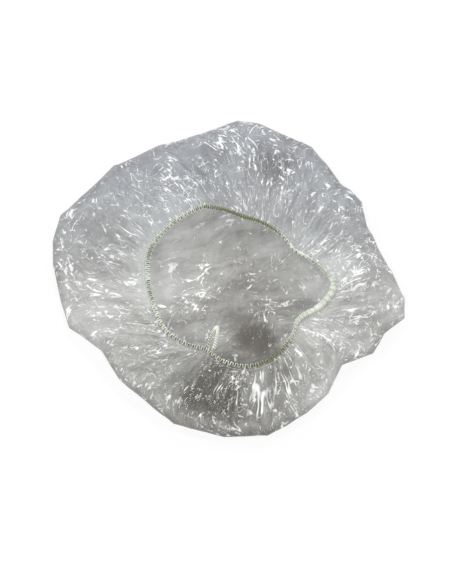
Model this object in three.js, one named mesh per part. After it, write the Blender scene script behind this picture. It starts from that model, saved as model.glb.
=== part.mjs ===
// A disposable shower cap of clear film, lying crown down with its gathered mouth up.
// Millimetres, +Z up. The origin is on the surface that the cap lies on, under the middle of its outline.
import * as THREE from "three";

// The film bag: one sheet that lies flat at the crown, turns over at its outline and is gathered in.
const FILM_WALL = 0.8; // the real film is about 0.03, too thin for a solid
const FOLD_RADIUS = 149; // mean radius of the outline, where the film turns over
const FOLD_HEIGHT = 11; // height of the outline above the resting face
const FOLD_DEPTH = 12; // width of the rounded turn, in from the outline
const SKIRT_PUFF_HEIGHT = 4; // how far the film stands above a straight line from the turn to the hem
const PLEAT_COUNT = 18; // main folds round the gathered skirt
const PLEAT_HEIGHT = 3; // of a main fold's ridge above the mean film, half way to the hem
const HEM_MARGIN = 1; // flat film outside the needle thread

// Corners of the crumpled outline, joined by straight runs: [degrees from +X, mm outside FOLD_RADIUS].
const FOLD_CORNERS = [
  [19, -13], [28, -7], [39, -12], [45, -9], [57, -1], [66, -1], [78, 3], [86, 4], [100, -9], [117, -8],
  [136, 0], [161, 14], [170, 13], [178, 9], [191, 3], [201, 2], [214, -15], [227, -10], [252, 0], [269, 4],
  [283, 7], [298, 0], [308, -4], [314, -11], [319, -14], [329, 2], [337, 3], [344, 16], [350, 13], [359, 1],
];

// The mouth: a ring line down the middle of the elastic.
const MOUTH_RADIUS = 72.5; // mean radius of the relaxed mouth
const MOUTH_OFFSET_X = 13; // the mouth lies off the crown's middle, to the right
const MOUTH_OFFSET_Y = -21.3; // and to the front
const MOUTH_HEIGHT = 34; // of the elastic's middle above the resting face

// Corners of the mouth: [degrees from +X about its own centre, mm outside MOUTH_RADIUS].
const MOUTH_CORNERS = [
  [2, 9], [13, 0], [21, -6], [35, -15], [46, -14], [59, -13], [74, -11], [89, -8], [108, 5], [115, 10],
  [122, 11], [139, 13], [157, 15], [174, 11], [193, 7], [213, 6], [229, 0], [241, -5], [259, 0], [276, 3],
  [298, -2], [315, -9], [324, -13], [332, -11], [340, -4], [355, 7],
];

// How the mouth rides up and down: [degrees about its own centre, mm above MOUTH_HEIGHT].
const MOUTH_WAVES = [[20, -2], [75, 2], [130, -1], [190, 1], [241, -2], [290, 2], [335, 0]];

// The seam: an elastic cord on the hem, overlocked to the film with three threads.
const ELASTIC_DIAMETER = 1.6;
const THREAD_DIAMETER = 0.5;
const STITCH_PITCH = 4.6;
const CLEARANCE = 0.3; // between pieces that lie against each other

// The seam's end: a loop of thread chain that stands in from the mouth at the join.
const JOIN_DEGREES = 244.5;
const TAIL_LENGTH = 18;
const TAIL_WIDTH = 6; // between the two ends of the loop
const TAIL_DIAMETER = 1.6;
const TAIL_SWAY = 5; // of the tip to the left of straight in, seen from above
const TAIL_RISE_DEGREES = 12; // tip up from level

// Fineness of the faceted surfaces
const COLUMNS_PER_PLEAT = 4;
const COLUMNS = PLEAT_COUNT * COLUMNS_PER_PLEAT;
const FOLD_STEPS = 4;
const OUTLINE_ROW = 1 + FOLD_STEPS / 2; // of the film's rows, counted from the crown's middle
const ELASTIC_SIDES = 8;
const THREAD_SIDES = 3;
const TAIL_SIDES = 6;
const TAIL_STEPS = 16;

const FULL_TURN = 360;
const UP = new THREE.Vector3(0, 0, 1);
const radians = THREE.MathUtils.degToRad;

// Section of the seam, square to the mouth line: distances outward and above the elastic's middle.
const threadRadius = THREAD_DIAMETER / 2;
const elasticRadius = ELASTIC_DIAMETER / 2;
const threadOffset = CLEARANCE + threadRadius; // from a surface to the middle of a thread on it
const hemTop = -elasticRadius - CLEARANCE;
const hemUnderside = hemTop - FILM_WALL;
// Threads cross the elastic on two straight slopes at 45 degrees that clear its round section.
const crossingTop = (elasticRadius + threadOffset) * Math.SQRT2;
const threadOnHem = hemTop + threadOffset;
const threadUnderHem = hemUnderside - threadOffset;
const stitchReach = crossingTop - threadOnHem; // from the middle to a thread at either edge of the seam
const rawEdge = -stitchReach + threadOffset;
const needleLine = stitchReach + THREAD_DIAMETER + 2 * CLEARANCE;
const hemOutside = needleLine + threadRadius + HEM_MARGIN;

function polar(degrees, radius, height) {
  return new THREE.Vector3(radius * Math.cos(radians(degrees)), radius * Math.sin(radians(degrees)), height);
}

// A smooth closed line through corners of [degrees, offset], as a function of degrees.
function smoothLine(corners, mean) {
  const turns = [-FULL_TURN, 0, FULL_TURN];
  const knots = turns.flatMap((turn) => corners.map(([degrees, offset]) => [degrees + turn, mean + offset]));
  const line = new THREE.CubicInterpolant(
    knots.map(([degrees]) => degrees),
    knots.map(([, value]) => value),
    1,
  );
  return (degrees) => line.evaluate(degrees % FULL_TURN)[0];
}

// How far a closed line of straight runs between corners lies from the middle, as a function of degrees.
function straightLine(corners, mean) {
  const points = corners.map(([degrees, offset]) => polar(degrees, mean + offset, 0));
  return (degrees) => {
    const last = corners.findLastIndex(([corner]) => corner <= degrees);
    const from = points.at(last);
    const run = points[(last + 1) % points.length].clone().sub(from);
    return from.clone().cross(run).z / polar(degrees, 1, 0).cross(run).z;
  };
}

const foldRadius = straightLine(FOLD_CORNERS, FOLD_RADIUS);
const mouthRadius = smoothLine(MOUTH_CORNERS, MOUTH_RADIUS);
const mouthHeight = smoothLine(MOUTH_WAVES, MOUTH_HEIGHT);
const columnDegrees = Array.from({ length: COLUMNS }, (_, column) => (column * FULL_TURN) / COLUMNS);

// The middle of the outline's box, which becomes the origin.
const outlineBox = new THREE.Box3().setFromPoints(columnDegrees.map((d) => polar(d, foldRadius(d), 0)));
const outlineMiddle = outlineBox.getCenter(new THREE.Vector3());

function mouthPoint(degrees) {
  const middle = new THREE.Vector3(MOUTH_OFFSET_X, MOUTH_OFFSET_Y, 0).sub(outlineMiddle);
  return polar(degrees, mouthRadius(degrees), mouthHeight(degrees)).add(middle);
}

// The way that the mouth runs, counter-clockwise, as a chord of two degrees.
function mouthAlong(degrees) {
  return mouthPoint(degrees + 1).sub(mouthPoint(degrees - 1));
}

const mouthLine = new THREE.CatmullRomCurve3(columnDegrees.map(mouthPoint), true, "centripetal");
const stitches = Math.round(mouthLine.getLength() / STITCH_PITCH);

// Level and square to a line that runs counter-clockwise, pointing away from the mouth.
function outwardOf(along) {
  return along.clone().cross(UP).normalize();
}

// A point of the seam: at a share of the mouth line's length, and that far outward and above it.
function seamPoint(share, outward, above) {
  const at = share % 1;
  const out = outwardOf(mouthLine.getTangentAt(at));
  return mouthLine.getPointAt(at).addScaledVector(out, outward).addScaledVector(UP, above);
}

function meshOf(name, geometry, material) {
  const mesh = new THREE.Mesh(geometry, material);
  mesh.name = name;
  return mesh;
}

function geometryOf(points, index) {
  const geometry = new THREE.BufferGeometry().setFromPoints(points);
  geometry.setIndex(index);
  return geometry;
}

// Two triangles for each step of two neighbouring rings, whose points are numbered from two starts.
function ringFaces(first, second, count) {
  return Array.from({ length: count }, (_, i) => {
    const next = (i + 1) % count;
    return [first + i, second + i, second + next, first + i, second + next, first + next];
  }).flat();
}

// The film's outer face in one upright section, from the flat crown over the turn to the raw edge.
function filmSection(degrees, column) {
  const foldAt = (radius, height) => polar(degrees, radius, height).sub(outlineMiddle);
  const turnMiddle = foldRadius(degrees) - FOLD_DEPTH;
  const turn = Array.from({ length: FOLD_STEPS + 1 }, (_, step) => {
    const climb = Math.PI * (step / FOLD_STEPS - 1 / 2);
    return foldAt(turnMiddle + FOLD_DEPTH * Math.cos(climb), FOLD_HEIGHT * (1 + Math.sin(climb)));
  });
  const out = outwardOf(mouthAlong(degrees));
  const hemAt = (outward) => mouthPoint(degrees).addScaledVector(out, outward).addScaledVector(UP, hemTop);
  const ridge = PLEAT_HEIGHT * Math.cos((Math.PI * 2 * column) / COLUMNS_PER_PLEAT);
  const halfWay = turn.at(-1).clone().lerp(hemAt(hemOutside), 1 / 2);
  const skirt = halfWay.addScaledVector(UP, SKIRT_PUFF_HEIGHT + ridge);
  return [...turn, skirt, hemAt(hemOutside), hemAt(rawEdge)];
}

// Faces that join rows of points, each a ring or the one point that closes the first ring.
function rowFaces(rows) {
  const starts = rows.map((_, row) => rows.slice(0, row).flat().length);
  return rows.slice(1).flatMap((ring, row) => {
    const [first, second] = [starts[row], starts[row + 1]];
    const fan = ring.flatMap((_, i) => [first, second + ((i + 1) % COLUMNS), second + i]);
    return rows[row].length === 1 ? fan : ringFaces(second, first, COLUMNS);
  });
}

// The whole film as rows of points from the crown's middle to the raw edge, on its outer and inner faces.
function filmRows() {
  const sections = columnDegrees.map(filmSection);
  const rings = sections[0].map((_, row) => sections.map((section) => section[row]));
  const outer = [[new THREE.Vector3()], ...rings];
  const face = geometryOf(outer.flat(), rowFaces(outer));
  face.computeVertexNormals();
  const hemRows = outer.slice(-2).flat();
  const normals = outer.flat().map((point, i) =>
    hemRows.includes(point) ? UP : new THREE.Vector3().fromBufferAttribute(face.getAttribute("normal"), i),
  );
  const inwards = outer.flat().map((point, i) => point.clone().addScaledVector(normals[i], -FILM_WALL));
  const inner = outer.map((row) => inwards.splice(0, row.length));
  return { outer, inner };
}

// A thin shell between some rows of the film's two faces, with a rim along each open edge.
function shellGeometry(outer, inner) {
  const half = outer.flat().length;
  const faces = rowFaces(outer);
  const innerFaces = faces.toReversed().map((i) => i + half);
  const lastRow = half - COLUMNS;
  const lastRim = ringFaces(lastRow + half, lastRow, COLUMNS);
  const firstRim = outer[0].length === 1 ? [] : ringFaces(0, half, COLUMNS);
  return geometryOf([...outer, ...inner].flat(), [...faces, ...innerFaces, ...lastRim, ...firstRim]);
}

// The crown, up to the outline, and the skirt, from the outline on, which part there by the clearance.
function crownGeometry({ outer, inner }) {
  const below = (rows) => [
    ...rows.slice(0, OUTLINE_ROW),
    rows[OUTLINE_ROW].map((point) => point.clone().addScaledVector(UP, -CLEARANCE / 2)),
  ];
  return shellGeometry(below(outer), below(inner));
}

function skirtGeometry({ outer, inner }) {
  const above = (rows) => [
    rows[OUTLINE_ROW].map((point) => point.clone().addScaledVector(UP, CLEARANCE / 2)),
    ...rows.slice(OUTLINE_ROW + 1),
  ];
  return shellGeometry(above(outer), above(inner));
}

// A closed round tube along a ring of middles, mitred at each and with no stretch that runs straight up.
function loopTube(middles, radius, sides) {
  const points = middles.flatMap((middle, i) => {
    const before = middle.clone().sub(middles.at(i - 1)).normalize();
    const after = middles[(i + 1) % middles.length].clone().sub(middle).normalize();
    const along = before.clone().add(after).normalize();
    const above = UP.clone().projectOnPlane(along).normalize();
    const beside = along.clone().cross(above);
    const bend = before.clone().sub(after).normalize();
    const stretch = 1 / before.dot(along) - 1;
    return Array.from({ length: sides }, (_, side) => {
      const turn = (2 * Math.PI * side) / sides;
      const offset = above.clone().multiplyScalar(Math.cos(turn)).addScaledVector(beside, Math.sin(turn));
      offset.addScaledVector(bend, stretch * offset.dot(bend));
      return middle.clone().addScaledVector(offset, radius);
    });
  });
  const rings = middles.flatMap((_, i) => ringFaces(((i + 1) % middles.length) * sides, i * sides, sides));
  return geometryOf(points, rings);
}

// A ring that runs along the seam at one place of its section.
function seamRing(outward, above, radius, sides) {
  const shares = Array.from({ length: stitches }, (_, stitch) => stitch / stitches);
  return loopTube(shares.map((share) => seamPoint(share, outward, above)), radius, sides);
}

// A thread that crosses the seam through [outward, above] places, runs half a stitch along the inner edge,
// crosses back and runs on along the outer edge.
function stitchedThread(crossing) {
  const middles = Array.from({ length: stitches }, (_, stitch) => [
    ...crossing.map((place) => seamPoint((stitch + 1 / 2) / stitches, ...place)),
    ...crossing.toReversed().map((place) => seamPoint((stitch + 1) / stitches, ...place)),
  ]);
  return loopTube(middles.flat(), threadRadius, THREAD_SIDES);
}

// A half ellipse from one end of the loop to the other, standing along +Y.
class LoopCurve extends THREE.Curve {
  getPoint(share, point = new THREE.Vector3()) {
    const turn = Math.PI * share;
    const across = (-TAIL_WIDTH / 2) * Math.cos(turn) - TAIL_SWAY * Math.sin(turn);
    return point.set(across, TAIL_LENGTH * Math.sin(turn), 0);
  }
}

function tailGeometry() {
  const section = new THREE.Shape().absarc(0, 0, TAIL_DIAMETER / 2, 0, 2 * Math.PI);
  return new THREE.ExtrudeGeometry(section, {
    steps: TAIL_STEPS,
    curveSegments: TAIL_SIDES,
    extrudePath: new LoopCurve(),
  });
}

const clearFilm = new THREE.MeshStandardMaterial({
  color: 0xd9dcdc,
  roughness: 0.15,
  metalness: 0,
  transparent: true,
  opacity: 0.35,
});
const paleThread = new THREE.MeshStandardMaterial({ color: 0xdde3cf, roughness: 0.8, metalness: 0 });
const oliveRubber = new THREE.MeshStandardMaterial({ color: 0x666b45, roughness: 0.7, metalness: 0 });

const cap = new THREE.Group();
const film = filmRows();
cap.add(meshOf("crown_film", crownGeometry(film), clearFilm));
cap.add(meshOf("skirt_film", skirtGeometry(film), clearFilm));

const seam = new THREE.Group();
seam.add(meshOf("elastic_cord", seamRing(0, 0, elasticRadius, ELASTIC_SIDES), oliveRubber));
seam.add(meshOf("needle_thread", seamRing(needleLine, threadOnHem, threadRadius, THREAD_SIDES), paleThread));
const overElastic = [[stitchReach, threadOnHem], [0, crossingTop], [-stitchReach, threadOnHem]];
seam.add(meshOf("upper_looper_thread", stitchedThread(overElastic), paleThread));
const underHem = [[stitchReach, threadUnderHem], [-stitchReach, threadUnderHem]];
seam.add(meshOf("lower_looper_thread", stitchedThread(underHem), paleThread));
cap.add(seam);

// The tail's ends stand clear of the looper threads by the room that they need to swing up and down.
const tailPivot = -stitchReach - threadRadius - TAIL_DIAMETER / 2 - CLEARANCE / 2;
const joinOut = outwardOf(mouthAlong(JOIN_DEGREES));
const tail = new THREE.Group();
tail.position.copy(mouthPoint(JOIN_DEGREES)).addScaledVector(joinOut, tailPivot);
tail.rotation.z = Math.atan2(-joinOut.y, -joinOut.x) - Math.PI / 2;
const tailLoop = meshOf("tail_loop", tailGeometry(), paleThread);
tailLoop.rotation.x = radians(TAIL_RISE_DEGREES);
tail.add(tailLoop);
cap.add(tail);

export default cap;
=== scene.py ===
"""A clear disposable shower cap, lying crown down: crumpled film, a sewn elastic and the seam's tail."""

import math

import bmesh
import bpy
import numpy as np
from bpy.props import FloatProperty, FloatVectorProperty, IntProperty, PointerProperty
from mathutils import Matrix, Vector


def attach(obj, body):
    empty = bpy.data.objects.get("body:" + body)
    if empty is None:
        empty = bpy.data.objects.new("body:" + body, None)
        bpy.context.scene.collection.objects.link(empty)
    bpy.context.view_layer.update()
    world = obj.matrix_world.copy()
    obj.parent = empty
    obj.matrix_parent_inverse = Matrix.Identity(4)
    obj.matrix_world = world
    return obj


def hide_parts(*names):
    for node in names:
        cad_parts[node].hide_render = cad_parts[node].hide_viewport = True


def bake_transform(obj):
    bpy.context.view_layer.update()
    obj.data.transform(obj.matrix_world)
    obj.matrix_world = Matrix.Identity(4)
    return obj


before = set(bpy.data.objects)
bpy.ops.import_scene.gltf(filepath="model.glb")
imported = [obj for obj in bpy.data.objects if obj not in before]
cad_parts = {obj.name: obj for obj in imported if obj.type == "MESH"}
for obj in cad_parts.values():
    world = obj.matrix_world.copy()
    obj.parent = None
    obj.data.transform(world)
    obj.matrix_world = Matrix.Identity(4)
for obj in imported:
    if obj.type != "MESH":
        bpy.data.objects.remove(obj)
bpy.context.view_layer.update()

bl_info = {
    "name": "Shower Cap",
    "version": (1, 0, 0),
    "blender": (4, 5, 0),
    "location": "View3D > Sidebar > Shower Cap",
    "description": "Builds a clear film shower cap with a sewn elastic round its mouth",
    "category": "Add Mesh",
}

MM = 0.001
FULL_TURN = 360.0
UP = np.array([0.0, 0.0, 1.0])

# The cap's lines, as in the construction: corners of [degrees from +X, mm outside a mean radius].
FOLD_RADIUS = 149.0
FOLD_CORNERS = [
    (19, -13), (28, -7), (39, -12), (45, -9), (57, -1), (66, -1), (78, 3), (86, 4), (100, -9), (117, -8),
    (136, 0), (161, 14), (170, 13), (178, 9), (191, 3), (201, 2), (214, -15), (227, -10), (252, 0), (269, 4),
    (283, 7), (298, 0), (308, -4), (314, -11), (319, -14), (329, 2), (337, 3), (344, 16), (350, 13), (359, 1),
]
OUTLINE_STEP = 5.0  # degrees between the outline's columns
MOUTH_RADIUS = 72.5
MOUTH_MIDDLE = (13.0, -21.3)
MOUTH_HEIGHT = 34.0
MOUTH_CORNERS = [
    (2, 9), (13, 0), (21, -6), (35, -15), (46, -14), (59, -13), (74, -11), (89, -8), (108, 5), (115, 10),
    (122, 11), (139, 13), (157, 15), (174, 11), (193, 7), (213, 6), (229, 0), (241, -5), (259, 0), (276, 3),
    (298, -2), (315, -9), (324, -13), (332, -11), (340, -4), (355, 7),
]
# How the mouth rides up and down: [degrees about its own middle, mm above its height].
MOUTH_WAVES = [(20, -2), (75, 2), (130, -1), (190, 1), (241, -2), (290, 2), (335, 0)]
MOUTH_STEPS = 1440  # round the mouth line, to measure along it

# Section of the seam, square to the mouth line, in mm outward of the elastic's middle and above it.
ELASTIC_DIAMETER = 1.6
THREAD_DIAMETER = 0.5
TAIL_DIAMETER = 1.6
CLEARANCE = 0.3
HEM_MARGIN = 1.0
FILM_DEPTH = 0.15  # of the film's middle below the hem's top
THREAD_OFFSET = CLEARANCE + THREAD_DIAMETER / 2
HEM_TOP = -ELASTIC_DIAMETER / 2 - CLEARANCE
HEM_ABOVE = HEM_TOP - FILM_DEPTH
STITCH_REACH = (ELASTIC_DIAMETER / 2 + THREAD_OFFSET) * math.sqrt(2) - HEM_TOP - THREAD_OFFSET
RAW_EDGE = THREAD_OFFSET - STITCH_REACH
NEEDLE_LINE = STITCH_REACH + THREAD_DIAMETER + 2 * CLEARANCE
HEM_OUTSIDE = NEEDLE_LINE + THREAD_DIAMETER / 2 + HEM_MARGIN
TAIL_DEGREES = 244.5
TAIL_FOOT = -STITCH_REACH - THREAD_DIAMETER / 2 - TAIL_DIAMETER / 2 - CLEARANCE / 2

# The seam is bunched in some places and stretched in others: [degrees about the mouth's middle, mm that it
# reaches to each side], the diameters of its looper threads, and how close its stitches lie, as a share.
SEAM_REACH = [
    (2, 2.9), (12, 1.6), (22, 1.0), (48, 1.0), (66, 1.6), (90, 1.9), (112, 1.8), (130, 1.5), (165, 1.8),
    (195, 1.7), (220, 1.4), (250, 1.4), (270, 1.5), (288, 1.9), (304, 1.6), (316, 1.4), (325, 1.9),
    (345, 2.7),
]
LOOPER_THICKNESS = [
    (0, 0.8), (20, 0.95), (30, 1.8), (42, 1.7), (52, 0.9), (60, 0.35), (70, 0.24), (106, 0.24), (114, 0.6),
    (122, 1.0), (140, 1.0), (150, 1.3), (160, 0.5), (170, 1.25), (178, 1.2), (186, 0.8), (194, 1.1),
    (203, 1.6), (215, 1.3), (225, 0.9), (260, 0.8), (272, 0.7), (280, 0.3), (296, 0.22), (304, 0.5),
    (312, 0.9), (322, 0.85), (335, 1.0),
]
BUNCHING = [
    (0, 2.0), (18, 1.3), (40, 0.9), (100, 1.0), (180, 0.95), (250, 0.95), (305, 1.0), (325, 1.6), (345, 2.0),
]
ELASTIC_MARGIN = 0.45  # mm from the elastic's edge to the seam's
ELASTIC_FLATNESS = 0.5
ELASTIC_POINTS = 4  # to a stitch
# A looper thread: [stitches that it lags, points in a crossing, mm that the middle of a crossing rises].
UPPER_LOOPER = (0.0, 9, 2.3)
LOWER_LOOPER = (0.5, 5, -0.4)
LOWER_SLIMNESS = 0.9
UPPER_GAP = 0.1  # mm between the hem and the upper thread at the seam's edges
LOWER_DEPTH = 1.0  # mm from the hem down to the middle of the lower thread there
STITCH_SLANT = 0.16  # of a crossing along the seam, in stitches
STITCH_UNEVEN = (0.65, 1.35)  # least and most share of the seam's own thickness that a stitch has
REACH_UNEVEN = (0.82, 1.12)  # the same of its reach
NEEDLE_ABOVE = 0.35  # mm from the film up to the middle of the needle thread
NEEDLE_DIP = 0.7  # mm that it goes down, once a stitch
NEEDLE_HOLE = (0.55, 0.95)  # heights of a unit wave between which it goes down
NEEDLE_POINTS = 12  # to a stitch
TAIL_CORE_RADIUS = 0.6
TAIL_THREAD_RADIUS = (0.4, 0.8)  # mm at the loop's first foot and at its last, where the thread is bunched
TAIL_WINDING = 1.05  # mm from the core's middle to the middle of the thread wound on it
TAIL_POINTS = 49  # along the core
WINDING_POINTS = 8  # to a turn
RIB_HEIGHT = 0.3  # mm, of the yarn's ribs

# Crumples of the film:
# [mm across a facet, times as long, degrees that it runs, slope, share of it in the crown].
CRUMPLES = [
    (34, 1.3, 10, 0.26, 0.3), (19, 1.6, 35, 0.28, 0.3), (15, 1.8, 115, 0.28, 0.3), (10, 2.2, 70, 0.30, 0.2),
]
CRUMPLE_PATCH = 50.0  # mm between the places that are crumpled more and less
PATCH_SHIFT = 7.3  # patches aside, from one size of crumple to the next
PATCH_NOISE = (0.2, 0.8)  # from the smoothest places to the most crumpled
PATCH_LEAST = 0.1  # share of the crumples in the smoothest places
PATCH_ADDED = 1.5  # share added in the most crumpled ones
OUTLINE_LEAST = 0.12  # share of the crumples at the outline
SOFTENING = 3  # passes that round the crumples
# Gathers at the mouth:
# [count round, mm long, mm high, mm from the raw edge to their start, full height and end].
GATHERS = [
    (212, 16, 1.4, (-2, -1, 9)), (112, 22, 1.3, (5, 12, 34)),
    (56, 40, 3.0, (7, 18, 56)), (28, 70, 4.2, (10, 30, 100)),
]
# How strongly the film is gathered: [degrees, share].
GATHER_STRENGTH = [(0, 0.8), (60, 0.5), (120, 0.5), (180, 0.9), (230, 0.85), (290, 1.1), (325, 0.8)]
CELLS = 128  # of the scattered points, before they repeat
PATCH_CELLS = 64  # of the smooth noise, before it repeats
FIRST_CELL = 40  # of the facets at the film's middle, a draw in which none bulges past the outline
POINT_MARGIN = 0.15  # share of a cell at each side that holds no point
CRUMPLE_SEED = 10
GATHER_SEED = 60
PATCH_SEED = 90
SECOND_SET = 1000  # added to a seed for the second set of points

# Where the film changes, from first to last, in mm past the outline towards the mouth,
SKIRT_CRUMPLES = (-20, 10)
GATHERS_BEGIN = (0, 25)
CROWN_LIFT_ENDS = (-60, -18)
CROWN_FOLDS_END = (-70, -20)
SKIRT_LOOK = (-8, 8)
# in mm from the outline to either side,
CRUMPLES_GROW = (1, 18)
RIM_FADES = (4, 13)
# and in mm from the raw edge.
CRUMPLES_END = (6, 22)
STREAKS_END = (4, 8)
STREAKS_FADE = (20, 110)
FLOOR_GAP = 0.2  # mm from the floor to the film, at least

# Creases of the film, drawn as short white strokes: painted highlights that stand for the glints of sharp
# creases, and their stress whitening:
# [mm between them, mm long, degrees that they run, mm wide, share of them shown].
CREASE_HIGHLIGHTS = [
    (8, 28, 30, 0.88, 0.463), (7, 24, 105, 0.82, 0.463),
    (5, 17, 160, 0.62, 0.463), (5, 18, 65, 0.58, 0.463),
]
CREASE_SHIFT = Vector((73, 31, 0))  # mm aside, from one row of these to the next
GATHER_HIGHLIGHTS = (4.4, 60.0, 0.45, 0.54)  # the same along the gathers, which run straight out
CREASE_BREAK = (12.0, 9.0, 1.0)  # mm between the gaps in a crease, along it and across
GATHER_BREAK = (9.0, 9.0, 16.0)
GATHER_WAVER = (20.0, 2.5)  # mm along a gather from bend to bend, and mm aside at most
CLUSTER = (45.0, 45.0, 1.0)  # mm between places where creases crowd
CROWDING = 0.45  # how strongly they do
STROKE_TAPER = 0.16  # share of the breaks over which a stroke swells to its full width
STROKE_CORE = 0.4  # share of a stroke's width that is fully white
FAINT_STROKE = 0.35
THINNEST_STROKE = 0.001  # of a cell
# opacity of the film where the painted highlights are drawn
PAINTED_HIGHLIGHT_OPACITY = 0.92
RIDGE_HEIGHT = 0.25  # mm, of the ridge under a crease's painted highlight
GATHER_STREAK = (2.6, 2.6, 45.0)  # mm across a fine fold at the mouth, and along it
STREAK_RELIEF = 0.4 * GATHER_STREAK[0]  # mm
STREAK_HAZE = 0.7
STREAKS_MOST = 1.05  # of the share by which the gathers are drawn
CROWN_FOLD = (48.0, 13.0, 1.0)  # mm along a soft fold of the crown, and across it
CROWN_FOLD_RUN = 12.0  # degrees
CLOUD = 42.0  # mm across a milky patch
CLOUD_HAZE = 0.9
WISP = (11.0, 7.0, 1.0)  # mm across a fine wisp
WISP_RUN = 40.0  # degrees
WISP_HAZE = 0.8
NOISE_MIDDLE = 0.5
# Levels of the film's look: [in the crown, added in the skirt].
HAZE_LEVEL = (0.34, 0.28)
CRISP_LEVEL = (0.91, 0.09)
RIM_HAZE = -0.3  # added where the film turns over
RIM_OPACITY = 0.15
PAINTED_SHADE_HAZE = (-0.2, 0.25)  # from the darkest film, where painted shade makes it more opaque so that its own dark shows, to the rest
PAINTED_SHADE_OPACITY = 0.16
PAINTED_LIGHT_TINT_SPAN = (-60, 120)  # mm in y over which a painted tint of reflected light turns from warmer at the front to cooler at the back
CROWN_SPARED_LIGHT_TINT = 0.9  # share of the painted tint of light that the crown is spared

# Spots of [mm in x, mm in y, mm to the edge, share added]: where the film is painted paler or darker, for
# milkier and smoother film and as painted light at the sides and painted shade at the front, at the back and
# in the mouth,
HAZE_SHADE_AND_LIGHT_SPOTS = [
    (15, -58, 20, -0.2), (32, -60, 22, -0.2), (28, -71, 46, -0.34), (20, -24, 52, -0.25),
    (-12, -34, 28, -0.18), (-60, 4, 50, 0.35), (-64, -29, 28, 0.45), (-48, 46, 40, 0.25), (72, -62, 26, 0.2),
    (-9, -119, 48, -0.6), (-8, -88, 34, -0.24), (46, -125, 36, -0.15), (54, -96, 34, -0.25),
    (-40, -120, 30, -0.2), (22, -140, 36, -0.16), (84, -118, 36, 0.4), (98, -66, 44, 0.3),
    (150, -34, 36, 0.35), (97, -6, 36, 0.55), (74, 24, 26, 0.25), (45, 106, 40, -0.35),
    (-10, 106, 30, -0.2), (-114, -48, 60, 0.4),
]
# where bundles of gathers catch the light,
STREAK_SPOTS = [
    (-116, -21, 34, 0.7), (-93, 27, 36, 0.4), (44, -128, 44, 0.1), (-30, 72, 26, 0.2), (70, 60, 30, 0.15),
    (108, -22, 36, 0.4), (-24, -106, 36, -0.3),
]
# and where the film is crushed into more creases, which show more of the painted highlights.
CRUSHED_SPOTS = [
    (-30, -22, 28, 0.28), (-51, 8, 16, 0.16), (-20, 6, 18, 0.08), (30, -28, 24, 0.08), (-58, -52, 24, 0.1),
    (-33, 74, 28, 0.08), (107, 10, 28, 0.1), (98, -66, 36, 0.1), (15, 118, 40, 0.06), (-20, -62, 24, 0.08),
    (-105, 40, 75, -0.08), (-22, -108, 36, -0.09),
]

CAMERA_TARGET = (-0.74, -20.46, 12.0)  # mm
# Softboxes round the cap: [degrees from +X, degrees above the floor].
SOFTBOXES = [(0, 50), (50, 46), (100, 42), (150, 44), (195, 48), (245, 60), (300, 60)]
HORIZON = (0.2, 0.55)  # heights on a unit sky from its white edge to its dim middle
FLOOR_RADIUS = 4.0  # m
FLOOR_SIDES = 64
FLOOR_WHITE = 0.85  # share of plain white in what is seen of the floor, the rest of which keeps the shadow


def linear(code):
    """The linear colour of an sRGB hex value."""
    parts = [int(code[i : i + 2], 16) / 255 for i in (1, 3, 5)]
    return tuple(p / 12.92 if p <= 0.04045 else ((p + 0.055) / 1.055) ** 2.4 for p in parts)


def size(label, about, default_mm):
    """A length that a user may set, given in mm."""
    return FloatProperty(name=label, description=about, default=default_mm * MM, unit="LENGTH", precision=4)


def angle(label, about, default_degrees):
    """An angle that a user may set, given in degrees."""
    default = math.radians(default_degrees)
    return FloatProperty(name=label, description=about, default=default, subtype="ANGLE")


def share(label, about, default, top=1.0):
    """A number from nothing to a top."""
    return FloatProperty(name=label, description=about, default=default, min=0.0, max=top)


def colour(label, about, code):
    """A colour that a user may set, given as an sRGB hex value."""
    return FloatVectorProperty(name=label, description=about, default=linear(code), subtype="COLOR", size=3)


class FilmSettings(bpy.types.PropertyGroup):
    """Sizes and colours of the film."""

    flat_diameter: size("Flat diameter", "Of the disc that the film is cut to", 500)
    turn_depth: size("Turn depth", "Width of the rounded turn at the outline", 12)
    turn_height: size("Turn height", "Height of the outline above the floor", 11)
    puff: size("Puff", "How far the skirt stands above a straight line to the hem", 4)
    crown_lift: size("Crown lift", "Mean height of the crumpled crown above the floor", 1.6)
    segments: IntProperty(name="Segments", description="Along each side of the sheet's grid", default=314)
    crease: share("Crease", "Steepness of the crumples, as a share", 1.0, 3.0)
    gather: share("Gather", "Depth of the gathers at the mouth, as a share", 1.0, 3.0)
    crown_opacity: share("Crown opacity", "Of the single layer seen through the mouth", 0.8)
    skirt_opacity: share("Skirt opacity", "Of the gathered layer on top", 0.62)
    # The dark and pale film also serve as painted shade and painted light where the haze spots set them.
    dark: colour("Dark film", "Where the film is smooth and shows least haze", "#57544d")
    pale: colour("Pale film", "Where the film is finely creased and milky", "#c8cacb")
    # Painted tints of reflected light: the cooler one at the back of the skirt, the warmer at the front and
    # in the crown.
    painted_cool_light: colour("Cool tint", "Of the skirt at the back", "#f1f6ff")
    painted_warm_light: colour("Warm tint", "Of the crown and the skirt at the front", "#fefdf8")
    # Painted highlights of the sharp creases, standing for their glints, and their stress whitening
    white: colour("Creases", "Where the film is sharply creased and whitened", "#f6f6f6")


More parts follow.
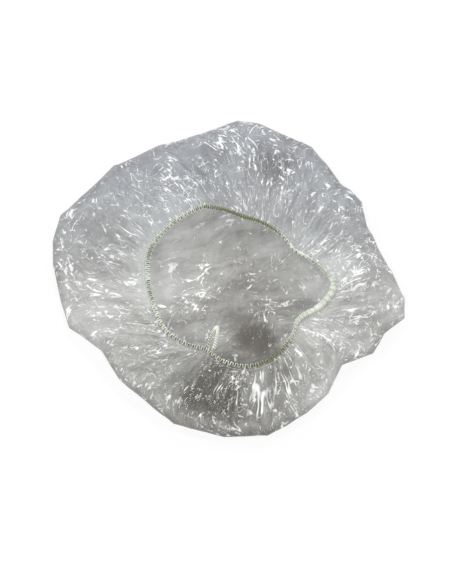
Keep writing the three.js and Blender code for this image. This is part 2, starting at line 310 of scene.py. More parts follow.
class SeamSettings(bpy.types.PropertyGroup):
    """Sizes and colours of the elastic, its stitches and the tail."""

    stitches: IntProperty(name="Stitches", description="Round the mouth", default=136)
    needle: size("Needle thread", "Diameter of the thread through the film", 0.22)
    tail_length: size("Tail length", "From the seam to the tip of the loop", 18)
    tail_width: size("Tail width", "Between the two ends of the loop", 6)
    tail_sway: size("Tail sway", "Of the tip to the left of straight in", 5)
    tail_rise: angle("Tail rise", "Of the tip", 12)
    tail_turns: IntProperty(name="Tail turns", description="Of the thread round the tail's core", default=26)
    olive: colour("Elastic", "Olive yarn of the elastic", "#697046")
    mint: colour("Thread", "Pale overlock thread", "#e7ece0")


class StageSettings(bpy.types.PropertyGroup):
    """The camera, lamps and floor."""

    distance: size("Camera distance", "From the camera to its target", 1000)
    elevation: angle("Elevation", "Of the camera", 70)
    lens: FloatProperty(name="Lens", description="Focal length in mm", default=68.5)
    lamp_power: FloatProperty(name="Lamp power", description="Of each softbox", default=5.0, unit="POWER")
    lamp_width: size("Lamp width", "Of each softbox", 240)
    lamp_distance: size("Lamp distance", "From the cap", 1600)
    sky: share("Sky", "Brightness of the sky overhead", 0.18)
    floor: colour("Floor", "Pale matt floor", "#f2f2f2")


def polar(degrees, radius):
    """Points in plan."""
    turn = np.radians(degrees)
    return np.stack([radius * np.cos(turn), radius * np.sin(turn)], axis=-1)


def smooth_line(corners, degrees):
    """A smooth closed line through corners, whose slope at each is the mean of the runs on both sides."""
    knots = np.array([(at + turn, value) for turn in (-FULL_TURN, 0, FULL_TURN) for at, value in corners])
    at, value = knots.T
    run = np.diff(value) / np.diff(at)
    slope = np.concatenate([run[:1], (run[1:] + run[:-1]) / 2, run[-1:]])
    i = np.searchsorted(at, degrees, side="right") - 1
    width = at[i + 1] - at[i]
    s = (degrees - at[i]) / width
    rise = value[i + 1] - value[i]
    bend_in = slope[i] * width - rise
    bend_out = rise - slope[i + 1] * width
    return value[i] + rise * s + s * (1 - s) * (bend_in * (1 - s) + bend_out * s)


def straight_line(corners, mean, degrees):
    """How far a closed line of straight runs between corners lies from the middle."""
    at, offset = np.array(corners, float).T
    points = polar(at, mean + offset)
    last = np.searchsorted(at, degrees, side="right") - 1
    start = points[last]
    run = points[(last + 1) % len(points)] - start
    way = polar(degrees, np.ones_like(degrees))
    across = way[..., 0] * run[..., 1] - way[..., 1] * run[..., 0]
    return (start[..., 0] * run[..., 1] - start[..., 1] * run[..., 0]) / across


def outline_middle():
    """The middle of the outline's box, which is the origin."""
    columns = np.arange(0, FULL_TURN, OUTLINE_STEP)
    outline = polar(columns, straight_line(FOLD_CORNERS, FOLD_RADIUS, columns))
    return (outline.min(axis=0) + outline.max(axis=0)) / 2


def mouth_line(degrees):
    """Points down the middle of the elastic, in mm."""
    radius = MOUTH_RADIUS + smooth_line(MOUTH_CORNERS, degrees)
    plan = polar(degrees, radius) + MOUTH_MIDDLE - outline_middle()
    height = MOUTH_HEIGHT + smooth_line(MOUTH_WAVES, degrees)
    return np.concatenate([plan, height[..., None]], axis=-1)


def mouth_outward(degrees):
    """Level and square to the mouth line, pointing away from the mouth."""
    along = mouth_line((degrees + 1) % FULL_TURN) - mouth_line((degrees - 1) % FULL_TURN)
    out = np.cross(along, UP)
    return out / np.linalg.norm(out, axis=-1, keepdims=True)


def degrees_along(shares):
    """Where shares of the seam's stitches lie, in degrees about the mouth's middle."""
    marks = np.linspace(0, FULL_TURN, MOUTH_STEPS + 1)
    steps = np.linalg.norm(np.diff(mouth_line(marks % FULL_TURN), axis=0), axis=1)
    steps *= smooth_line(BUNCHING, marks[:-1])
    run = np.concatenate([[0.0], np.cumsum(steps)])
    return np.interp(shares % 1 * run[-1], run, marks) % FULL_TURN


def seam_points(shares, outward, above):
    """Points of the seam: at shares of its stitches, and that far outward and above the mouth line."""
    degrees = degrees_along(shares)
    offset = mouth_outward(degrees) * np.asarray(outward)[..., None]
    return mouth_line(degrees) + offset + UP * np.asarray(above)[..., None]


def ease(value, low, high):
    """From 0 below low to 1 above high, smoothly."""
    t = np.clip((value - low) / (high - low), 0, 1)
    return t * t * (3 - 2 * t)


def spots(place, table):
    """The sum of soft round spots, at points in mm."""
    total = np.zeros(len(place))
    for x, y, edge, added in table:
        total += added * (1 - ease(np.hypot(place[:, 0] - x, place[:, 1] - y), 0, edge))
    return total


def nearest_squared(x, y, seed, around):
    """Squared distance to the nearest of points that are scattered one to a unit cell. They repeat in x after
    around cells."""
    chance = np.random.default_rng(seed).random((around, CELLS, 2))
    table = POINT_MARGIN + (1 - 2 * POINT_MARGIN) * chance
    column, row = np.floor(x).astype(int), np.floor(y).astype(int)
    best = np.full(x.shape, np.inf)
    for dx in (-1, 0, 1):
        for dy in (-1, 0, 1):
            place = table[(column + dx) % around, (row + dy) % CELLS]
            across = column + dx + place[..., 0] - x
            along = row + dy + place[..., 1] - y
            best = np.minimum(best, across**2 + along**2)
    return best


def crumple(x, y, seed, around=CELLS):
    """Flat facets that meet in sharp creases, in unit cells with slopes of about one."""
    return nearest_squared(x, y, seed, around) - nearest_squared(x, y, seed + SECOND_SET, around)


def value_noise(x, y, seed):
    """Smooth noise from 0 to 1, in unit cells."""
    table = np.random.default_rng(seed).random((PATCH_CELLS, PATCH_CELLS))
    column, row = np.floor(x).astype(int), np.floor(y).astype(int)
    s, t = ease(x - column, 0, 1), ease(y - row, 0, 1)
    left, right = column % PATCH_CELLS, (column + 1) % PATCH_CELLS
    near, far = row % PATCH_CELLS, (row + 1) % PATCH_CELLS
    front = table[left, near] * (1 - s) + table[right, near] * s
    back = table[left, far] * (1 - s) + table[right, far] * s
    return front * (1 - t) + back * t


def soften(heights, side, passes):
    """Rounds the folds of a square sheet of side by side points, a little more with each pass."""
    sheet = heights.reshape(side, side)
    for _ in range(passes):
        for _ in range(2):
            wide = np.pad(sheet, ((1, 1), (0, 0)), mode="edge")
            sheet = ((wide[:-2] + 2 * sheet + wide[2:]) / 4).T
    return sheet.ravel()


def film_profile(rho, degrees, film):
    """Where points of the smooth film lie, in mm, how far past the outline, and how far from the raw edge."""
    depth, height = film.turn_depth / MM, film.turn_height / MM
    crown_end = polar(degrees, straight_line(FOLD_CORNERS, FOLD_RADIUS, degrees) - depth) - outline_middle()
    turn_way = polar(degrees, np.ones_like(degrees))
    out = mouth_outward(degrees)
    hem = mouth_line(degrees) + out * HEM_OUTSIDE + UP * HEM_ABOVE
    turn_top = np.concatenate([crown_end, np.full((len(rho), 1), 2 * height)], axis=1)
    crown_run = np.linalg.norm(crown_end, axis=1)
    turn_run = math.pi * math.hypot(depth, height) / math.sqrt(2)
    skirt_run = np.linalg.norm(hem - turn_top, axis=1)
    total = crown_run + turn_run + skirt_run + HEM_OUTSIDE - RAW_EDGE
    at = rho * total
    past_crown = at - crown_run
    past_turn = past_crown - turn_run
    past_hem = past_turn - skirt_run
    crown = crown_end * np.clip(at / crown_run, 0, 1)[:, None]
    crown = np.concatenate([crown, np.zeros((len(rho), 1))], axis=1)
    climb = math.pi * (np.clip(past_crown / turn_run, 0, 1) - 0.5)
    turn = crown_end + turn_way * (depth * np.cos(climb))[:, None]
    turn = np.concatenate([turn, (height * (1 + np.sin(climb)))[:, None]], axis=1)
    s = np.clip(past_turn / skirt_run, 0, 1)[:, None]
    skirt = turn_top + (hem - turn_top) * s + UP * (film.puff / MM * 4) * s * (1 - s)
    place = np.where((past_crown < 0)[:, None], crown, turn)
    place = np.where((past_turn > 0)[:, None], skirt, place)
    place = np.where((past_hem > 0)[:, None], hem - out * past_hem[:, None], place)
    return place, past_crown - turn_run / 2, total - at


def film_relief(flat, degrees, from_outline, from_edge, film):
    """How far the crumpled film stands out from the smooth one, in mm."""
    on_skirt = ease(from_outline, *SKIRT_CRUMPLES)
    height = np.zeros(len(flat))
    for number, (cell, stretch, run, slope, in_crown) in enumerate(CRUMPLES):
        along, across = (flat @ polar(run + quarter, 1.0) for quarter in (0, 90))
        x, y = flat.T / CRUMPLE_PATCH
        patches = value_noise(x + PATCH_SHIFT * number, y, PATCH_SEED + number)
        patchy = PATCH_LEAST + PATCH_ADDED * ease(patches, *PATCH_NOISE)
        x, y = along / (cell * stretch) + FIRST_CELL, across / cell + FIRST_CELL
        facets = crumple(x, y, CRUMPLE_SEED + number)
        height += slope * cell * patchy * facets * (in_crown + (1 - in_crown) * on_skirt)
    height = soften(film.crease * height, film.segments + 1, SOFTENING)
    height *= OUTLINE_LEAST + (1 - OUTLINE_LEAST) * ease(np.abs(from_outline), *CRUMPLES_GROW)
    height *= ease(from_edge, *CRUMPLES_END)
    strength = smooth_line(GATHER_STRENGTH, degrees) * film.gather * ease(from_outline, *GATHERS_BEGIN)
    for number, (count, length, high, (start, full, end)) in enumerate(GATHERS):
        x, y = degrees / FULL_TURN * count, from_edge / length + FIRST_CELL
        folds = 2 * high * strength * crumple(x, y, GATHER_SEED + number, count)
        height += folds * ease(from_edge, start, full) * (1 - ease(from_edge, full, end))
    return height


def new_piece(name, mesh, material):
    """A finished piece at the origin, shaded smooth."""
    mesh.name = name
    mesh.materials.clear()
    mesh.materials.append(material)
    mesh.shade_smooth()
    piece = bpy.data.objects.new(name, mesh)
    bpy.context.collection.objects.link(piece)
    return piece


def tube_mesh(name, points, radii, closed, flatness=1.0):
    """A strand along points in mm, with a radius at each, made a mesh. Its first UV axis is mm along it, and
    its height is flatness times its width."""
    curve = bpy.data.curves.new(name, "CURVE")
    curve.dimensions = "3D"
    curve.twist_mode = "Z_UP"
    curve.bevel_depth = MM
    curve.bevel_resolution = 2
    curve.use_fill_caps = not closed
    line = curve.splines.new("POLY")
    line.points.add(len(points) - 1)
    line.points.foreach_set("co", np.concatenate([points * MM, np.ones((len(points), 1))], axis=1).ravel())
    line.points.foreach_set("radius", np.broadcast_to(radii, len(points)).astype(float))
    line.use_cyclic_u = closed
    strand = bpy.data.objects.new(name, curve)
    bpy.context.collection.objects.link(strand)
    mesh = bpy.data.meshes.new_from_object(strand)
    bpy.data.objects.remove(strand)
    bpy.data.curves.remove(curve)
    if flatness != 1.0:
        places = np.zeros(len(mesh.vertices) * 3)
        mesh.vertices.foreach_get("co", places)
        rings = places.reshape(len(points), -1, 3)
        middle = rings.mean(axis=1, keepdims=True)
        mesh.vertices.foreach_set("co", (middle + (rings - middle) * (1, 1, flatness)).ravel())
    length = np.linalg.norm(np.diff(points, axis=0), axis=1).sum()
    around = np.zeros(len(mesh.loops) * 2)
    mesh.uv_layers["UVMap"].data.foreach_get("uv", around)
    mesh.uv_layers["UVMap"].data.foreach_set("uv", (around.reshape(-1, 2) * (length, 1)).ravel())
    return mesh


def node(tree, kind, inputs=(), output=0, **settings):
    """Adds a shader node with its settings, sets or links its inputs, given by name or in order, and returns
    one of its outputs."""
    made = tree.nodes.new("ShaderNode" + kind)
    for name, value in settings.items():
        setattr(made, name, value)
    for name, value in inputs.items() if isinstance(inputs, dict) else enumerate(inputs):
        if isinstance(value, bpy.types.NodeSocket):
            tree.links.new(value, made.inputs[name])
        else:
            made.inputs[name].default_value = value
    return made.outputs[output] if made.outputs else None


def new_material(name):
    """An empty material and its nodes."""
    material = bpy.data.materials.new(name)
    material.use_nodes = True
    material.node_tree.nodes.clear()
    return material, material.node_tree


def strokes(tree, where, breaks, width, shown):
    """White lines about a cell apart, painted highlights, from 0 to 1, that swell and brighten where breaks
    are high and stop where they are low. where is in cells, and so is a line's width."""
    hills = node(tree, "TexNoise", {"Vector": where, "Scale": 1.0, "Detail": 1.0, "Roughness": 0.3})
    aside = node(tree, "Math", (hills, NOISE_MIDDLE), operation="SUBTRACT")
    aside = node(tree, "Math", (aside,), operation="ABSOLUTE")
    taper = (1 - shown, 1 - shown + STROKE_TAPER)
    swell = node(tree, "MapRange", (breaks, *taper, THINNEST_STROKE, width / 2))
    aside = node(tree, "Math", (aside, swell), operation="DIVIDE")
    line = node(tree, "MapRange", (aside, STROKE_CORE, 1.0, 1.0, 0.0), interpolation_type="SMOOTHSTEP")
    shine = node(tree, "MapRange", (breaks, *taper, FAINT_STROKE, 1.0))
    return node(tree, "Math", (line, shine), operation="MULTIPLY")


def painted_crease_highlights(tree, flat):
    """Painted highlights along short creases of the crumpled film, standing for their glints, with their
    stress whitening, from 0 to 1.
    """
    crisp = node(tree, "Attribute", output="Fac", attribute_name="crisp")
    white = 0.0
    for number, (across, length, run, width, shown) in enumerate(CREASE_HIGHLIGHTS):
        lie = {"Vector": flat, "Rotation": (0, 0, math.radians(run)), "Location": number * CREASE_SHIFT}
        lines = node(tree, "Mapping", lie | {"Scale": (length, across, 1)}, vector_type="TEXTURE")
        gaps = node(tree, "Mapping", lie | {"Scale": CREASE_BREAK}, vector_type="TEXTURE")
        gaps = node(tree, "TexNoise", {"Vector": gaps, "Scale": 1.0, "Detail": 3.0, "Roughness": 0.7})
        crowd = node(tree, "Mapping", lie | {"Scale": CLUSTER}, vector_type="TEXTURE")
        crowd = node(tree, "TexNoise", {"Vector": crowd, "Scale": 1.0, "Detail": 1.0})
        crowd = node(tree, "Math", (crowd, NOISE_MIDDLE), operation="SUBTRACT")
        breaks = node(tree, "Math", (crowd, CROWDING, gaps), operation="MULTIPLY_ADD")
        breaks = node(tree, "Math", (breaks, crisp), operation="MULTIPLY")
        layer = strokes(tree, lines, breaks, width / across, shown)
        white = node(tree, "Math", (white, layer), operation="MAXIMUM")
    return white


def film_gathers(tree, flat):
    """Painted highlights along the gathers' long creases, from 0 to 1, and fine folds between them, either
    side of 0.
    """
    across, length, width, shown = GATHER_HIGHLIGHTS
    bend, aside = GATHER_WAVER
    waver = node(tree, "TexNoise", {"Vector": flat, "Scale": 1 / bend, "Detail": 1.0}, "Color")
    waver = node(tree, "VectorMath", {0: waver, 1: (NOISE_MIDDLE,) * 3}, operation="SUBTRACT")
    round_mouth = node(tree, "Attribute", output="Vector", attribute_name="gathers")
    waver = {0: waver, 1: (aside,) * 3, 2: round_mouth}
    round_mouth = node(tree, "VectorMath", waver, operation="MULTIPLY_ADD")
    drawn = node(tree, "Attribute", output="Fac", attribute_name="drawn")
    gaps = node(tree, "Mapping", {"Vector": round_mouth, "Scale": GATHER_BREAK}, vector_type="TEXTURE")
    gaps = node(tree, "TexNoise", {"Vector": gaps, "Scale": 1.0, "Detail": 1.0})
    breaks = node(tree, "Math", (gaps, drawn), operation="MULTIPLY")
    lines = {"Vector": round_mouth, "Scale": (across, across, length)}
    lines = node(tree, "Mapping", lines, vector_type="TEXTURE")
    white = strokes(tree, lines, breaks, width / across, shown)
    folds = node(tree, "Mapping", {"Vector": round_mouth, "Scale": GATHER_STREAK}, vector_type="TEXTURE")
    folds = node(tree, "TexNoise", {"Vector": folds, "Scale": 1.0, "Detail": 2.0})
    folds = node(tree, "Math", (folds, NOISE_MIDDLE), operation="SUBTRACT")
    return white, node(tree, "Math", (folds, drawn), operation="MULTIPLY")


def film_haze(tree, flat, folds):
    """How milky the film is, from 0 to 1, with the painted shade and painted light that its haze attribute
    holds: broad patches, fine wisps, and folds of the skirt and the crown.
    """
    haze = node(tree, "Attribute", output="Fac", attribute_name="haze")
    crown = node(tree, "Attribute", output="Fac", attribute_name="crown")
    clouds = {"Vector": flat, "Scale": 1 / CLOUD, "Detail": 5.0, "Roughness": 0.62}
    clouds = node(tree, "TexNoise", clouds)
    wisps = {"Vector": flat, "Scale": WISP, "Rotation": (0, 0, math.radians(WISP_RUN))}
    wisps = node(tree, "Mapping", wisps, vector_type="TEXTURE")
    wisps = {"Vector": wisps, "Scale": 1.0, "Detail": 4.0, "Roughness": 0.65, "Distortion": 1.2}
    wisps = node(tree, "TexNoise", wisps)
    crown_folds = {"Vector": flat, "Scale": CROWN_FOLD, "Rotation": (0, 0, math.radians(CROWN_FOLD_RUN))}
    crown_folds = node(tree, "Mapping", crown_folds, vector_type="TEXTURE")
    crown_folds = {"Vector": crown_folds, "Scale": 1.0, "Detail": 3.0, "Distortion": 0.8}
    crown_folds = node(tree, "TexNoise", crown_folds)
    for pattern, strength in ((clouds, CLOUD_HAZE), (wisps, WISP_HAZE), (crown_folds, crown)):
        pattern = node(tree, "Math", (pattern, NOISE_MIDDLE), operation="SUBTRACT")
        haze = node(tree, "Math", (pattern, strength, haze), operation="MULTIPLY_ADD")
    return node(tree, "Math", (folds, STREAK_HAZE, haze), operation="MULTIPLY_ADD", use_clamp=True)


def film_material(film):
    """Low-density polyethylene film, blown and crumpled: a grey see-through veil with soft gloss, whitened in
    short strokes where it is sharply creased, strokes that are painted highlights standing for the creases'
    glints as well as their stress whitening, and milky where it is finely creased. Its tone also holds
    painted shade and painted light in patches, and a painted tint of reflected light, warmer at the front and
    cooler at the back."""
    material, tree = new_material("polyethylene_film")
    flat = node(tree, "UVMap", output="UV", uv_map="flat")
    flat = node(tree, "VectorMath", {0: flat, "Scale": film.flat_diameter / MM}, operation="SCALE")
    painted_gather_highlights, folds = film_gathers(tree, flat)
    white = node(tree, "Math", (painted_crease_highlights(tree, flat), painted_gather_highlights), operation="MAXIMUM")
    # The tone runs from dark to pale with the haze, and so carries its painted shade and painted light.
    tone = {0: film_haze(tree, flat, folds), 6: (*film.dark, 1), 7: (*film.pale, 1)}
    tone = node(tree, "Mix", tone, 2, data_type="RGBA")
    # A painted tint of reflected light, warmer at the front and in the crown, cooler at the back of the
    # skirt.
    back = node(tree, "Attribute", output="Fac", attribute_name="back")
    tint = node(tree, "Mix", {0: back, 6: (*film.painted_warm_light, 1), 7: (*film.painted_cool_light, 1)}, 2, data_type="RGBA")
    tone = node(tree, "Mix", {0: 1.0, 6: tone, 7: tint}, 2, data_type="RGBA", blend_type="MULTIPLY")
    # Where the creases' painted highlights are drawn, the film turns white and nearly opaque, over a bump
    # ridge.
    tone = node(tree, "Mix", {0: white, 6: tone, 7: (*film.white, 1)}, 2, data_type="RGBA")
    opacity = node(tree, "Attribute", output="Fac", attribute_name="opacity")
    opacity = node(tree, "Mix", {0: white, 2: opacity, 3: PAINTED_HIGHLIGHT_OPACITY})
    ridges = node(tree, "Math", (white, RIDGE_HEIGHT), operation="MULTIPLY")
    height = node(tree, "Math", (folds, STREAK_RELIEF, ridges), operation="MULTIPLY_ADD")
    bump = node(tree, "Bump", {"Height": height, "Strength": 1.0, "Distance": MM})
    gloss = {"Roughness": 0.45, "IOR": 1.51, "Specular IOR Level": 0.25}
    coat = {"Coat Weight": 0.6, "Coat Roughness": 0.1, "Coat IOR": 1.6, "Coat Normal": bump}
    look = {"Base Color": tone, "Alpha": opacity, "Normal": bump}
    node(tree, "OutputMaterial", {"Surface": node(tree, "BsdfPrincipled", look | gloss | coat)})
    return material


def strand_material(name, colour_of, shade, pitch, turns, gloss):
    """Yarn with slanting ribs, with painted shade in the grooves between them: a pitch in mm along the
    strand, and so many turns round it.
    """
    material, tree = new_material(name)
    along = node(tree, "UVMap", output="UV", uv_map="UVMap")
    along = node(tree, "Mapping", {"Vector": along, "Scale": (1 / pitch, turns, 1)})
    wave = {"Vector": along, "Scale": 2 * math.pi / 10, "Distortion": 0.6}  # one rib to a unit
    ribs = node(tree, "TexWave", wave, "Fac", bands_direction="DIAGONAL")
    # painted shade: the grooves between the ribs are the yarn's colour darkened by the shade share
    dark = tuple(shade * part for part in colour_of)
    tone = node(tree, "Mix", {0: ribs, 6: (*dark, 1), 7: (*colour_of, 1)}, 2, data_type="RGBA")
    bump = node(tree, "Bump", {"Height": ribs, "Strength": 0.5, "Distance": RIB_HEIGHT * MM})
    look = {"Base Color": tone, "Normal": bump}
    node(tree, "OutputMaterial", {"Surface": node(tree, "BsdfPrincipled", look | gloss)})
    return material


def elastic_material(seam):
    """Braided elastic, olive polyester yarn over rubber: matt, with coarse slanting ribs."""
    ribs = {"shade": 0.5, "pitch": 0.9, "turns": 2}
    return strand_material("braided_elastic", seam.olive, **ribs, gloss={"Roughness": 0.75})


def thread_material(seam):
    """Bulked polyester overlock thread: pale mint, matt and soft, twisted from plies."""
    ribs = {"shade": 0.8, "pitch": 1.2, "turns": 2}
    soft = {"Roughness": 0.85, "Sheen Weight": 0.25, "Sheen Roughness": 0.5}
    return strand_material("bulked_polyester_thread", seam.mint, **ribs, gloss=soft)


def material_for(name, make, settings):
    """A material that several pieces share, made once."""
    return bpy.data.materials.get(name) or make(settings)


class CAP_OT_stage(bpy.types.Operator):
    """Makes the camera, the softboxes, the even light and the pale floor"""

    bl_idname = "cap.stage"
    bl_label = "Stage"

    def execute(self, context):
        scene, stage = context.scene, context.scene.cap_stage
        scene.view_settings.view_transform = "Standard"
        self.make_camera(scene, stage)
        self.make_lamps(scene, stage)
        self.make_world(scene, stage)
        self.make_floor(stage)
        return {"FINISHED"}

    def make_camera(self, scene, stage):
        back = Vector((0, -math.cos(stage.elevation), math.sin(stage.elevation)))
        lens = bpy.data.cameras.new("camera")
        lens.lens = stage.lens
        camera = bpy.data.objects.new("camera", lens)
        camera.location = Vector(CAMERA_TARGET) * MM + back * stage.distance
        camera.rotation_euler = (-back).to_track_quat("-Z", "Y").to_euler()
        scene.collection.objects.link(camera)
        scene.camera = camera

    def make_lamps(self, scene, stage):
        for number, (azimuth, elevation) in enumerate(SOFTBOXES):
            a, e = math.radians(azimuth), math.radians(elevation)
            way = Vector((math.cos(a) * math.cos(e), math.sin(a) * math.cos(e), math.sin(e)))
            light = bpy.data.lights.new(f"softbox_{number}", "AREA")
            light.size = stage.lamp_width
            light.energy = stage.lamp_power
            lamp = bpy.data.objects.new(f"softbox_{number}", light)
            lamp.location = way * stage.lamp_distance
            lamp.rotation_euler = (-way).to_track_quat("-Z", "Y").to_euler()
            lamp.visible_camera = False
            scene.collection.objects.link(lamp)

    def make_world(self, scene, stage):
        """White at the horizon and dim overhead."""
        world = bpy.data.worlds.new("studio")
        world.use_nodes = True
        tree = world.node_tree
        tree.nodes.clear()
        way = node(tree, "TexCoord", output="Generated")
        up = node(tree, "SeparateXYZ", (way,), "Z")
        level = node(tree, "MapRange", (up, *HORIZON, 1.0, stage.sky), interpolation_type="SMOOTHSTEP")
        sky = node(tree, "Background", {"Color": (1, 1, 1, 1), "Strength": level})
        node(tree, "OutputWorld", {"Surface": sky})
        scene.world = world

    def make_floor(self, stage):
        """Matt to the light, and white to the camera, in a mirror and through glass."""
        material, tree = new_material("pale_matt_floor")
        seen = 0.0
        for ray in ("Is Camera Ray", "Is Glossy Ray", "Is Transmission Ray"):
            seen = node(tree, "Math", (seen, node(tree, "LightPath", output=ray)), operation="MAXIMUM")
        seen = node(tree, "Math", (seen, FLOOR_WHITE), operation="MULTIPLY")
        matt = node(tree, "BsdfDiffuse", {"Color": (*stage.floor, 1)})
        white = node(tree, "Emission", {"Color": (1, 1, 1, 1), "Strength": 1.0})
        node(tree, "OutputMaterial", {"Surface": node(tree, "MixShader", (seen, matt, white))})
        shape = bmesh.new()
        bmesh.ops.create_circle(shape, cap_ends=True, segments=FLOOR_SIDES, radius=FLOOR_RADIUS)
        mesh = bpy.data.meshes.new("floor")
        shape.to_mesh(mesh)
        shape.free()
        new_piece("floor", mesh, material)


class CAP_OT_elastic(bpy.types.Operator):
    """Makes the elastic that lies on the hem"""

    bl_idname = "cap.elastic"
    bl_label = "Elastic"

    def execute(self, context):
        seam = context.scene.cap_seam
        count = ELASTIC_POINTS * seam.stitches
        shares = np.arange(count) / count
        level = np.zeros(count)
        half = smooth_line(SEAM_REACH, degrees_along(shares)) - ELASTIC_MARGIN
        mesh = tube_mesh("elastic", seam_points(shares, level, level), half, True, ELASTIC_FLATNESS)
        elastic = new_piece("elastic", mesh, material_for("braided_elastic", elastic_material, seam))
        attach(elastic, "mouth_band")
        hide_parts("elastic_cord")
        return {"FINISHED"}


class CAP_OT_stitches(bpy.types.Operator):
    """Makes the three threads of the overlocked seam"""

    bl_idname = "cap.stitches"
    bl_label = "Stitches"

    def execute(self, context):
        seam = context.scene.cap_seam
        over, radii = self.looper(seam, *UPPER_LOOPER)
        self.place("upper_looper", over, radii, "upper_looper_thread", seam)
        under, radii = self.looper(seam, *LOWER_LOOPER)
        self.place("lower_looper", under, radii * LOWER_SLIMNESS, "lower_looper_thread", seam)
        self.place("needle_stitches", self.needle(seam), seam.needle / MM / 2, "needle_thread", seam)
        return {"FINISHED"}

    def looper(self, seam, lag, steps, rise):
        """A thread that crosses the seam, runs half a stitch along one edge, crosses back and runs on, with
        its radius at each point. It rises over the elastic, or dips under the hem."""
        turn = np.linspace(0, math.pi, steps)
        across = np.cos(turn)
        stitch = np.arange(seam.stitches)[:, None]
        slant = STITCH_SLANT * np.linspace(-0.5, 0.5, steps)
        there = (stitch + lag + 0.5 + slant) / seam.stitches
        back = (stitch + lag + 1.0 + slant) / seam.stitches
        shares = np.concatenate([there, back], axis=1).ravel()
        degrees = degrees_along(shares)
        chance = np.random.default_rng(steps)
        uneven = np.repeat(chance.uniform(*REACH_UNEVEN, 2 * seam.stitches), steps)
        reach = uneven * smooth_line(SEAM_REACH, degrees)
        outward = np.tile(np.concatenate([across, -across]), seam.stitches) * reach
        uneven = np.repeat(chance.uniform(*STITCH_UNEVEN, 2 * seam.stitches), steps)
        radii = uneven * smooth_line(LOOPER_THICKNESS, degrees) / 2
        edge = radii + UPPER_GAP if rise > 0 else -LOWER_DEPTH
        height = HEM_ABOVE + edge + rise * np.tile(np.sin(turn), 2 * seam.stitches)
        return seam_points(shares, outward, height), radii

    def needle(self, seam):
        """A line of stitches that dips through the film once a stitch."""
        count = NEEDLE_POINTS * seam.stitches
        shares = np.arange(count) / count
        dip = np.cos(shares * seam.stitches * 2 * math.pi)
        above = HEM_ABOVE + NEEDLE_ABOVE - NEEDLE_DIP * ease(dip, *NEEDLE_HOLE)
        return seam_points(shares, np.full(count, NEEDLE_LINE), above)

    def place(self, name, points, radius, stands_for, seam):
        mesh = tube_mesh(name, points, radius, True)
        thread = new_piece(name, mesh, material_for("bulked_polyester_thread", thread_material, seam))
        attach(thread, "mouth_band")
        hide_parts(stands_for)


class CAP_OT_tail(bpy.types.Operator):
    """Makes the loop of overlocked elastic that stands in from the mouth where the seam ends"""

    bl_idname = "cap.tail"
    bl_label = "Tail"

    def execute(self, context):
        seam = context.scene.cap_seam
        line = self.path(seam, np.linspace(0, 1, TAIL_POINTS))
        core = tube_mesh("tail_core", line, TAIL_CORE_RADIUS, False)
        piece = new_piece("tail_core", core, material_for("braided_elastic", elastic_material, seam))
        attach(piece, "seam_tail")
        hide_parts("tail_loop")
        line = self.winding(seam)
        wound = tube_mesh("tail_thread", line, np.linspace(*TAIL_THREAD_RADIUS, len(line)), False)
        thread = material_for("bulked_polyester_thread", thread_material, seam)
        piece = new_piece("tail_thread", wound, thread)
        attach(piece, "seam_tail")
        return {"FINISHED"}

    def path(self, seam, at):
        """Points along the loop, from one foot to the other."""
        degrees = np.array([TAIL_DEGREES])
        out = mouth_outward(degrees)[0]
        foot = mouth_line(degrees)[0] + out * TAIL_FOOT
        beside = np.array([-out[1], out[0], 0.0])
        inward = -out * math.cos(seam.tail_rise) + UP * math.sin(seam.tail_rise)
        turn = math.pi * at
        across = -seam.tail_width / 2 * np.cos(turn) - seam.tail_sway * np.sin(turn)
        reach = seam.tail_length * np.sin(turn)
        return foot + beside * (across / MM)[:, None] + inward * (reach / MM)[:, None]

    def winding(self, seam):
        """Points of the thread that is wound round the loop."""
        at = np.linspace(0, 1, WINDING_POINTS * seam.tail_turns + 1)
        line = self.path(seam, at)
        along = np.gradient(line, axis=0)
        along /= np.linalg.norm(along, axis=1, keepdims=True)
        side = np.cross(along, UP)
        side /= np.linalg.norm(side, axis=1, keepdims=True)
        turn = 2 * math.pi * seam.tail_turns * at[:, None]
        return line + TAIL_WINDING * (side * np.cos(turn) + np.cross(side, along) * np.sin(turn))


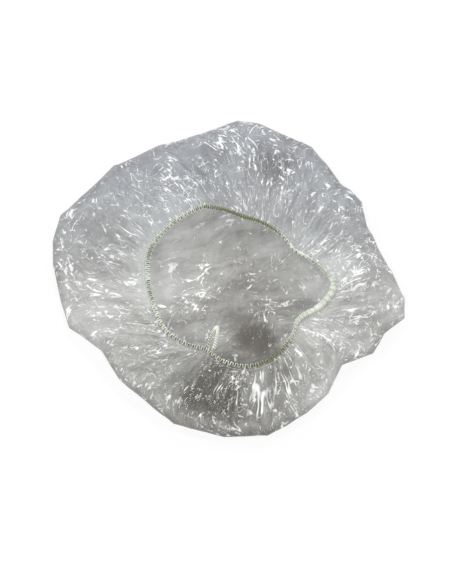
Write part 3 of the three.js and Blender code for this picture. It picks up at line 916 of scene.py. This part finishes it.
class CAP_OT_film(bpy.types.Operator):
    """Makes the crumpled film, one disc: flat at the crown, turned over and gathered to the mouth"""

    bl_idname = "cap.film"
    bl_label = "Film"

    def execute(self, context):
        film = context.scene.cap_film
        mesh, rho, degrees = self.disc(film)
        flat = polar(degrees, rho * film.flat_diameter / MM / 2)
        place, from_outline, from_edge = film_profile(rho, degrees, film)
        mesh.vertices.foreach_set("co", (place * MM).ravel())
        mesh.update()
        out = np.zeros(len(place) * 3)
        mesh.vertex_normals.foreach_get("vector", out)
        relief = film_relief(flat, degrees, from_outline, from_edge, film)
        dressed = place + out.reshape(-1, 3) * relief[:, None]
        dressed[:, 2] += film.crown_lift / MM * (1 - ease(from_outline, *CROWN_LIFT_ENDS))
        dressed[:, 2] = np.maximum(FLOOR_GAP, dressed[:, 2])
        mesh.vertices.foreach_set("co", (dressed * MM).ravel())
        mesh.update()
        self.paint(mesh, flat, place, degrees, from_outline, from_edge, film)
        piece = new_piece("film", mesh, film_material(film))
        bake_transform(piece)
        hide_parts("crown_film", "skirt_film")
        return {"FINISHED"}

    def disc(self, film):
        """A square grid, face down, and where each point lies once the square is pressed round: its share of
        the way out and its degrees from +X."""
        shape = bmesh.new()
        bmesh.ops.create_grid(shape, x_segments=film.segments, y_segments=film.segments, size=1.0)
        bmesh.ops.reverse_faces(shape, faces=shape.faces)
        mesh = bpy.data.meshes.new("film")
        shape.to_mesh(mesh)
        shape.free()
        corners = np.zeros(len(mesh.vertices) * 3)
        mesh.vertices.foreach_get("co", corners)
        x, y, _ = corners.reshape(-1, 3).T
        steep = np.abs(y) > np.abs(x)
        lead = np.where(steep, y, x)
        lean = np.where(steep, -x, y) / np.where(lead == 0, 1, lead)
        degrees = 45 * lean + np.where(steep, 90, 0) + np.where(lead < 0, 180, 0)
        return mesh, np.abs(lead), degrees % FULL_TURN

    def paint(self, mesh, flat, place, degrees, from_outline, from_edge, film):
        """Keeps the flat film as a UV map, and its haze, opacity, creases and gathers as attributes."""
        corner = np.zeros(len(mesh.loops), int)
        mesh.loops.foreach_get("vertex_index", corner)
        around = flat * MM / film.flat_diameter + 0.5
        mesh.uv_layers.new(name="flat").data.foreach_set("uv", around[corner].ravel())
        skirt = ease(from_outline, *SKIRT_LOOK)
        rim = 1 - ease(np.abs(from_outline), *RIM_FADES)
        # The haze holds milkiness and the spots' painted shade and painted light; where the painted shade is
        # deepest, the film is also made more opaque.
        haze = HAZE_LEVEL[0] + HAZE_LEVEL[1] * skirt + spots(place, HAZE_SHADE_AND_LIGHT_SPOTS)
        clear = 1 - ease(haze, *PAINTED_SHADE_HAZE)
        opacity = film.crown_opacity + (film.skirt_opacity - film.crown_opacity) * skirt
        gathered = smooth_line(GATHER_STRENGTH, degrees) + spots(place, STREAK_SPOTS)
        drawn = gathered * skirt * (1 - ease(from_edge, *STREAKS_FADE)) * ease(from_edge, *STREAKS_END)
        crown = 1 - ease(from_outline, *CROWN_FOLDS_END)
        shades = {
            "haze": haze + RIM_HAZE * rim,
            "opacity": opacity + PAINTED_SHADE_OPACITY * clear + RIM_OPACITY * rim,
            "crisp": CRISP_LEVEL[0] + CRISP_LEVEL[1] * skirt + spots(place, CRUSHED_SPOTS),
            "drawn": np.minimum(drawn, STREAKS_MOST),
            # a painted tint of reflected light, cooler towards the back
            "back": ease(place[:, 1], *PAINTED_LIGHT_TINT_SPAN) * (1 - CROWN_SPARED_LIGHT_TINT * crown),
            "crown": crown,
        }
        for name, values in shades.items():
            mesh.attributes.new(name, "FLOAT", "POINT").data.foreach_set("value", values.astype(np.float32))
        plan = polar(degrees, np.full(len(flat), MOUTH_RADIUS))
        round_mouth = np.concatenate([plan, from_edge[:, None]], axis=1)
        vectors = mesh.attributes.new("gathers", "FLOAT_VECTOR", "POINT").data
        vectors.foreach_set("vector", round_mouth.astype(np.float32).ravel())


class CAP_PT_panel(bpy.types.Panel):
    """Lists the cap's pieces and their settings"""

    bl_idname = "CAP_PT_panel"
    bl_label = "Shower Cap"
    bl_space_type = "VIEW_3D"
    bl_region_type = "UI"
    bl_category = "Shower Cap"

    def draw(self, context):
        for group, operators in PANEL_ROWS:
            box = self.layout.box()
            for name in operators:
                box.operator(name)
            settings = getattr(context.scene, group)
            for name in settings.__annotations__:
                box.prop(settings, name)


PANEL_ROWS = [
    ("cap_stage", ["cap.stage"]),
    ("cap_film", ["cap.film"]),
    ("cap_seam", ["cap.elastic", "cap.stitches", "cap.tail"]),
]
SETTINGS = {"cap_film": FilmSettings, "cap_seam": SeamSettings, "cap_stage": StageSettings}
OPERATORS = [CAP_OT_stage, CAP_OT_elastic, CAP_OT_stitches, CAP_OT_tail, CAP_OT_film]
CLASSES = [*SETTINGS.values(), *OPERATORS, CAP_PT_panel]


def register():
    for kind in CLASSES:
        bpy.utils.register_class(kind)
    for name, kind in SETTINGS.items():
        setattr(bpy.types.Scene, name, PointerProperty(type=kind))


def unregister():
    for name in SETTINGS:
        delattr(bpy.types.Scene, name)
    for kind in reversed(CLASSES):
        bpy.utils.unregister_class(kind)


def main():
    register()
    bpy.ops.cap.stage()
    bpy.ops.cap.elastic()
    bpy.ops.cap.stitches()
    bpy.ops.cap.tail()
    bpy.ops.cap.film()


if __name__ == "__main__":
    main()
